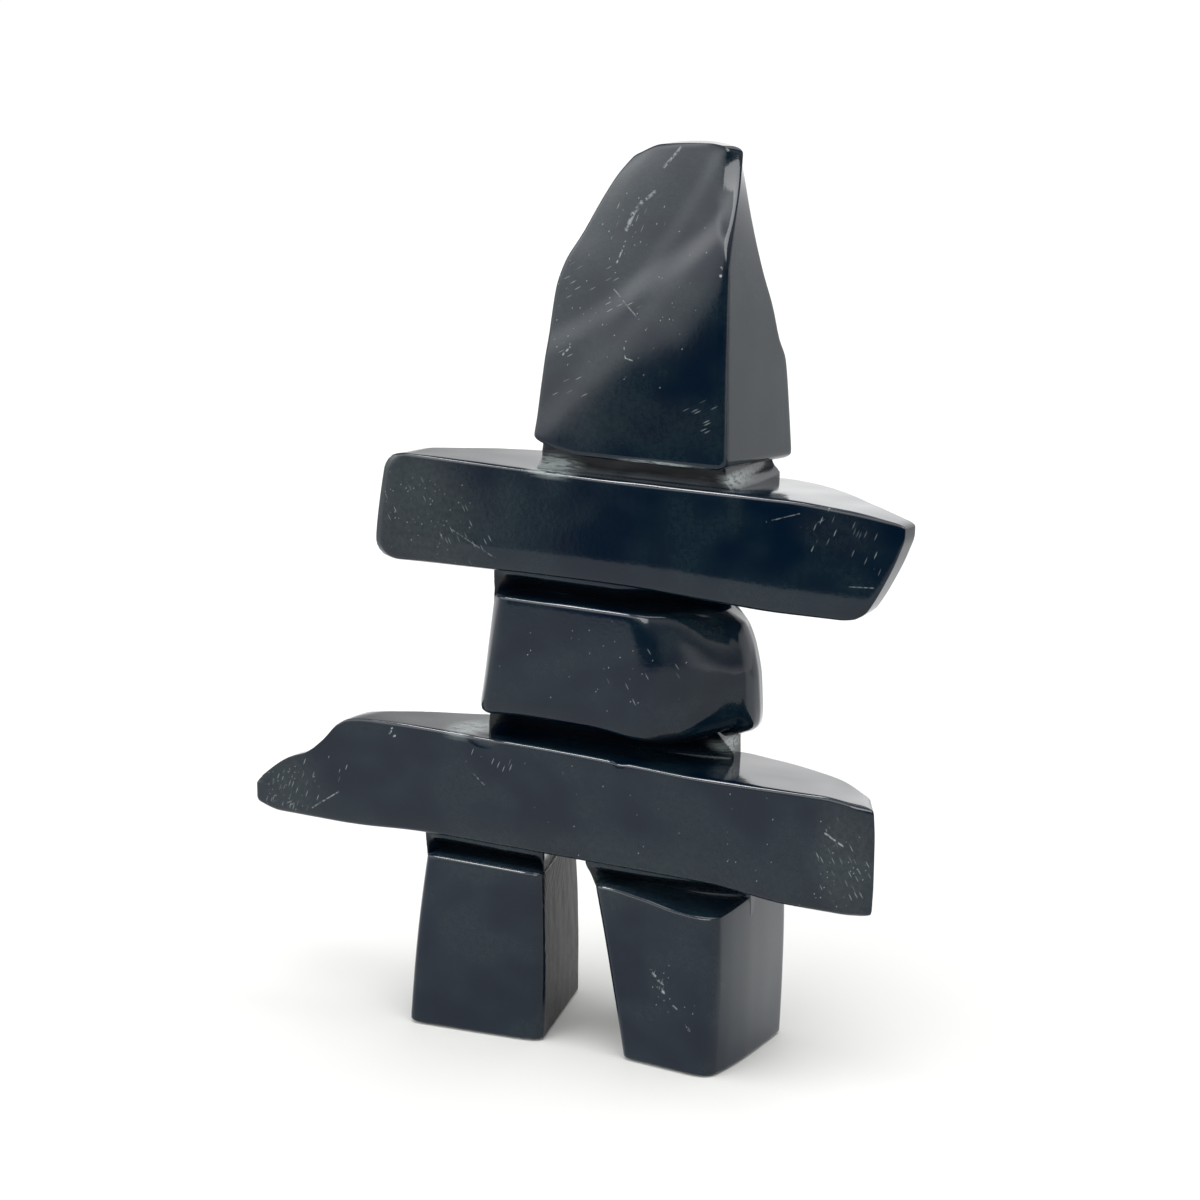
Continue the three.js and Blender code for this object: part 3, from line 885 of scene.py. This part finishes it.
# Scratches, dashes and flecks together, seen from the front
def paleMarks(tree, point):
    place = addNode(tree, "SeparateXYZ", {0: point}).outputs
    seen = addNode(tree, "CombineXYZ", {"X": place["X"], "Y": place["Z"]}).outputs[0]
    scratch = scratchGroup()
    dashes = dashGroup()
    total = 0.0
    for x1, z1, x2, z2, width, strength in scratches:
        drawn = addNode(tree, "Group", node_tree=scratch)
        tree.links.new(seen, drawn.inputs["Point"])
        drawn.inputs["From"].default_value = (x1, z1, 0)
        drawn.inputs["Length"].default_value = (x2 - x1, z2 - z1, 0)
        drawn.inputs["Width"].default_value = width
        total = calculate(tree, "MAXIMUM", total, multiply(tree, drawn.outputs[0], strength))
    broken = spread(tree, noiseAt(tree, point, **marking["broken"]), *marking["brokenRange"])
    total = multiply(tree, multiply(tree, total, broken), amountOf(tree, "front"))
    for name, (turn, spacing, strength) in dashFields.items():
        drawn = addNode(tree, "Group", node_tree=dashes)
        tree.links.new(seen, drawn.inputs["Point"])
        drawn.inputs["Turn"].default_value = (0, 0, math.radians(turn))
        drawn.inputs["Spacing"].default_value = (*spacing, 1)
        tree.links.new(amountOf(tree, name), drawn.inputs["Density"])
        total = calculate(tree, "MAXIMUM", total, multiply(tree, drawn.outputs[0], strength))
    return total


# Colours in linear light, sizes in millimetres. A range takes its first two values to 0 and 1, or to its
# last two
stone = {
    # The haze colour is partly a real pale bloom and partly painted sheen, lifting faces where the polished
    # stone would catch bright reflections
    "deep": (0.0003, 0.0052, 0.0145, 1), "cloud": (0.0065, 0.0165, 0.0235, 1), "hazeAndSheen": (0.03, 0.04, 0.042, 1),
    # The groove colour is near black, darker than the sawn stone: painted shade deep in the grooves
    "paintedGrooveShade": (0.0012, 0.0025, 0.005, 1), "pale": (0.36, 0.41, 0.41, 1),
    "sawnGrey": (0.014, 0.0135, 0.0125, 1), "sawnPale": (0.06, 0.062, 0.06, 1),
    "mottle": {"scale": 0.625, "detail": 4, "roughness": 0.75}, "mottleRange": (0.32, 0.68, 0.4, 1.0),
    "hazeAndSheenRange": (0.4, 1.0, 0.4, 0.8),
    "rasped": {"scale": 1.0, "detail": 3, "roughness": 0.7, "stretch": (0.2, 0.5, 1.4)},
    "raspedRange": (0.3, 0.58),
    "arcMiddle": (0, 22, -32), "arcRange": (0.35, 1.0), "arcHeight": 0.3,
    "arcs": {"Scale": 0.25, "Distortion": 5, "Detail": 2, "Detail Scale": 0.3},
    "arcPatches": {"scale": 0.25, "detail": 2}, "arcPatchRange": (0.4, 0.62),
    "grain": {"scale": 0.8, "detail": 2, "roughness": 0.6}, "grainHeight": 0.025,
    "sawLines": {"scale": 1.0, "detail": 1, "roughness": 0.5, "stretch": (0.12, 0.2, 1.6)},
    "sawLineHeight": 0.12, "relief": 0.5,
    "polish": 0.1, "unpolished": 0.36, "grooveDullness": 0.8, "sawnRoughness": 0.6, "ior": 1.45,
}


# The rasp's arcs on the sawn side of the left leg
def raspArcs(tree, point):
    ringed = addNode(tree, "Mapping", {"Vector": point, "Location": stone["arcMiddle"]}).outputs[0]
    rings = addNode(
        tree, "TexWave", {"Vector": ringed, **stone["arcs"]}, wave_type="RINGS", rings_direction="X",
    ).outputs["Fac"]
    patches = spread(tree, noiseAt(tree, point, **stone["arcPatches"]), *stone["arcPatchRange"])
    return multiply(tree, spread(tree, rings, *stone["arcRange"]), patches)


def makeStoneMaterial(shift):
    material = bpy.data.materials.new("polished_black_stone")
    material.use_nodes = True
    tree = material.node_tree
    shader = tree.nodes["Principled BSDF"]
    corner = addNode(tree, "TexCoord").outputs["Object"]
    point = addNode(
        tree, "Mapping", {"Vector": corner, "Scale": (1 / mm,) * 3, "Location": tuple(-shift)},
    ).outputs[0]
    groove = amountOf(tree, "groove")
    sawn = amountOf(tree, "sawn")
    mottle = spread(tree, noiseAt(tree, point, **stone["mottle"]), *stone["mottleRange"])
    clouded = multiply(tree, amountOf(tree, "clouds"), mottle)
    hazeAndSheenShare = multiply(tree, amountOf(tree, "hazeAndSheen"), spread(tree, mottle, *stone["hazeAndSheenRange"]))
    arcs = raspArcs(tree, point)
    rasped = spread(tree, noiseAt(tree, point, **stone["rasped"]), *stone["raspedRange"])
    dusted = multiply(tree, amountOf(tree, "dust"), rasped)
    marks = calculate(tree, "MAXIMUM", paleMarks(tree, point), dusted)
    colour = mixColours(tree, clouded, stone["deep"], stone["cloud"])
    # Haze: partly a real pale bloom and partly painted sheen on the faces
    colour = mixColours(tree, hazeAndSheenShare, colour, stone["hazeAndSheen"])
    # Painted shade: inside the grooves the colour is darkened to near black, as the recesses fall in shade
    colour = mixColours(tree, groove, colour, stone["paintedGrooveShade"])
    colour = mixColours(tree, sawn, colour, mixColours(tree, arcs, stone["sawnGrey"], stone["sawnPale"]))
    colour = mixColours(tree, marks, colour, stone["pale"])
    tree.links.new(colour, shader.inputs["Base Color"])
    dull = calculate(tree, "MAXIMUM", multiply(tree, groove, stone["grooveDullness"]), marks)
    roughness = blend(tree, dull, stone["polish"], stone["unpolished"])
    roughness = blend(tree, sawn, roughness, stone["sawnRoughness"])
    tree.links.new(roughness, shader.inputs["Roughness"])
    grain = multiply(tree, noiseAt(tree, point, **stone["grain"]), stone["grainHeight"])
    sawLines = multiply(tree, noiseAt(tree, point, **stone["sawLines"]), groove)
    height = calculate(tree, "ADD", grain, multiply(tree, sawLines, stone["sawLineHeight"]))
    height = calculate(tree, "ADD", height, multiply(tree, multiply(tree, arcs, sawn), stone["arcHeight"]))
    bump = addNode(tree, "Bump", {"Height": height, "Distance": mm, "Strength": stone["relief"]})
    tree.links.new(bump.outputs[0], shader.inputs["Normal"])
    shader.inputs["IOR"].default_value = stone["ior"]
    return material


# Pale sheet under the carving: millimetres to its edges, its colour as the camera sees it, and its colours in
# reflections, a painted reflection brightness that is dim in front and bright behind, which change where the
# metres behind the carving say
sheet = {
    "front": -430, "back": 1500, "halfWidth": 1500, "roughness": 0.9,
    "seen": (0.735, 0.74, 0.72, 1), "inFront": (0.55, 0.55, 0.55, 1), "behind": (0.95, 0.95, 0.95, 1),
    "farBehind": (0.6, 0.6, 0.6, 1), "behindFrom": (-0.06, 0.04), "farFrom": (0.12, 0.4),
}


def makeFloor():
    bm = bmesh.new()
    bmesh.ops.create_grid(bm, x_segments=1, y_segments=1, size=0.5)
    bmesh.ops.scale(
        bm, verts=bm.verts, vec=(2 * sheet["halfWidth"] * mm, (sheet["back"] - sheet["front"]) * mm, 1),
    )
    bmesh.ops.translate(bm, verts=bm.verts, vec=(0, (sheet["back"] + sheet["front"]) / 2 * mm, 0))
    mesh = bpy.data.meshes.new("pale_sheet")
    bm.to_mesh(mesh)
    bm.free()
    floor = bpy.data.objects.new("pale_sheet", mesh)
    bpy.context.scene.collection.objects.link(floor)
    paper = bpy.data.materials.new("pale_paper")
    paper.use_nodes = True
    tree = paper.node_tree
    shader = tree.nodes["Principled BSDF"]
    back = addNode(tree, "SeparateXYZ", {0: addNode(tree, "TexCoord").outputs["Object"]}).outputs["Y"]
    # Painted reflection: what the carving sees in the sheet is dimmer in front and brighter behind than the
    # colour the camera sees
    reflected = mixColours(tree, spread(tree, back, *sheet["behindFrom"]), sheet["inFront"], sheet["behind"])
    reflected = mixColours(tree, spread(tree, back, *sheet["farFrom"]), reflected, sheet["farBehind"])
    direct = addNode(tree, "LightPath").outputs["Is Camera Ray"]
    tree.links.new(mixColours(tree, direct, reflected, sheet["seen"]), shader.inputs["Base Color"])
    shader.inputs["Roughness"].default_value = sheet["roughness"]
    shader.inputs["Specular IOR Level"].default_value = 0
    mesh.materials.append(paper)


# Studio walls, by direction: the first two values of a row are where it starts and ends, and the last
# two its brightness there. Bright behind and at the front left, dim low down in front
studio = {
    "frontFrom": (0.3, -0.4), "wallFoot": (-0.14, 0.07), "wallSeen": 1.05,
    "lowFront": (-0.475, -0.535, 0.03, 0.85), "lowFrontRight": (0.5, 0.85), "lowFrontRightGlow": 0.9,
    "lowBack": 1.0, "lowRight": (0.7, 0.9), "lowRightGlow": 1.9,
    "highBack": (-0.585, -0.38, 0.35, 1.7),
    "highFront": (-0.3, 0.5, 2.5, 0.5), "highFrontRise": (0.05, 0.4, 0.75, 1.9),
    "aloft": (0.3, 0.65, 1, 0.25),
}


def makeWorld():
    world = bpy.data.worlds.new("studio")
    bpy.context.scene.world = world
    world.use_nodes = True
    tree = world.node_tree
    direction = addNode(tree, "SeparateXYZ", {0: addNode(tree, "TexCoord").outputs["Generated"]}).outputs
    x, y, z = direction["X"], direction["Y"], direction["Z"]
    inFront = spread(tree, y, *studio["frontFrom"])
    lowFront = spread(tree, x, *studio["lowFront"])
    lowFront = blend(tree, spread(tree, x, *studio["lowFrontRight"]), lowFront, studio["lowFrontRightGlow"])
    low = blend(tree, inFront, studio["lowBack"], lowFront)
    low = blend(tree, spread(tree, x, *studio["lowRight"]), low, studio["lowRightGlow"])
    highFront = spread(tree, x, *studio["highFront"])
    highFront = multiply(tree, highFront, spread(tree, z, *studio["highFrontRise"]))
    high = blend(tree, inFront, spread(tree, x, *studio["highBack"]), highFront)
    wall = blend(tree, spread(tree, z, *studio["wallFoot"]), low, high)
    surround = tree.nodes["Background"]
    tree.links.new(multiply(tree, wall, spread(tree, z, *studio["aloft"])), surround.inputs["Strength"])
    surround.inputs["Color"].default_value = (1, 1, 1, 1)
    plain = addNode(tree, "Background", {"Color": (1, 1, 1, 1), "Strength": studio["wallSeen"]})
    direct = addNode(tree, "LightPath").outputs["Is Camera Ray"]
    either = addNode(tree, "MixShader", {0: direct, 1: surround.outputs[0], 2: plain.outputs[0]})
    tree.links.new(either.outputs[0], tree.nodes["World Output"].inputs["Surface"])


# Lights: direction to each, how many degrees across it looks, its strength, and whether it also lights
# matt surfaces such as the sheet
lights = {
    "window": ((-0.47, -0.45, 0.76), 14, 1.2, False),
    "skylight": ((0.23, -0.04, 0.96), 56, 2.4, True),
    "lamp": ((0.19, -0.95, 0.33), 34, 1.6, False),
}


def makeLights():
    for name, (direction, angle, strength, lightsMatt) in lights.items():
        data = bpy.data.lights.new(name, "SUN")
        data.angle = math.radians(angle)
        data.energy = strength
        light = bpy.data.objects.new(name, data)
        light.visible_diffuse = lightsMatt
        bpy.context.scene.collection.objects.link(light)
        light.rotation_euler = Vector(direction).to_track_quat("Z", "Y").to_euler()


camera = {"place": (371.5, -663.1, 315.8), "azimuth": 29, "elevation": 14.5, "lens": 90, "sensor": 36}


def makeCamera():
    data = bpy.data.cameras.new("camera")
    data.lens = camera["lens"]
    data.sensor_width = camera["sensor"]
    data.sensor_fit = "HORIZONTAL"
    shot = bpy.data.objects.new("camera", data)
    bpy.context.scene.collection.objects.link(shot)
    shot.location = Vector(camera["place"]) * mm
    shot.rotation_euler = (math.radians(90 - camera["elevation"]), 0, math.radians(camera["azimuth"]))
    bpy.context.scene.camera = shot


makeCamera()
piece, shift = makeCarving()
piece.data.materials.append(makeStoneMaterial(shift))
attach(piece, "root")
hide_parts("inukshuk_carving")
say("carving done")
makeFloor()
makeWorld()
makeLights()
bpy.context.scene.view_settings.view_transform = "Standard"
say("studio done")
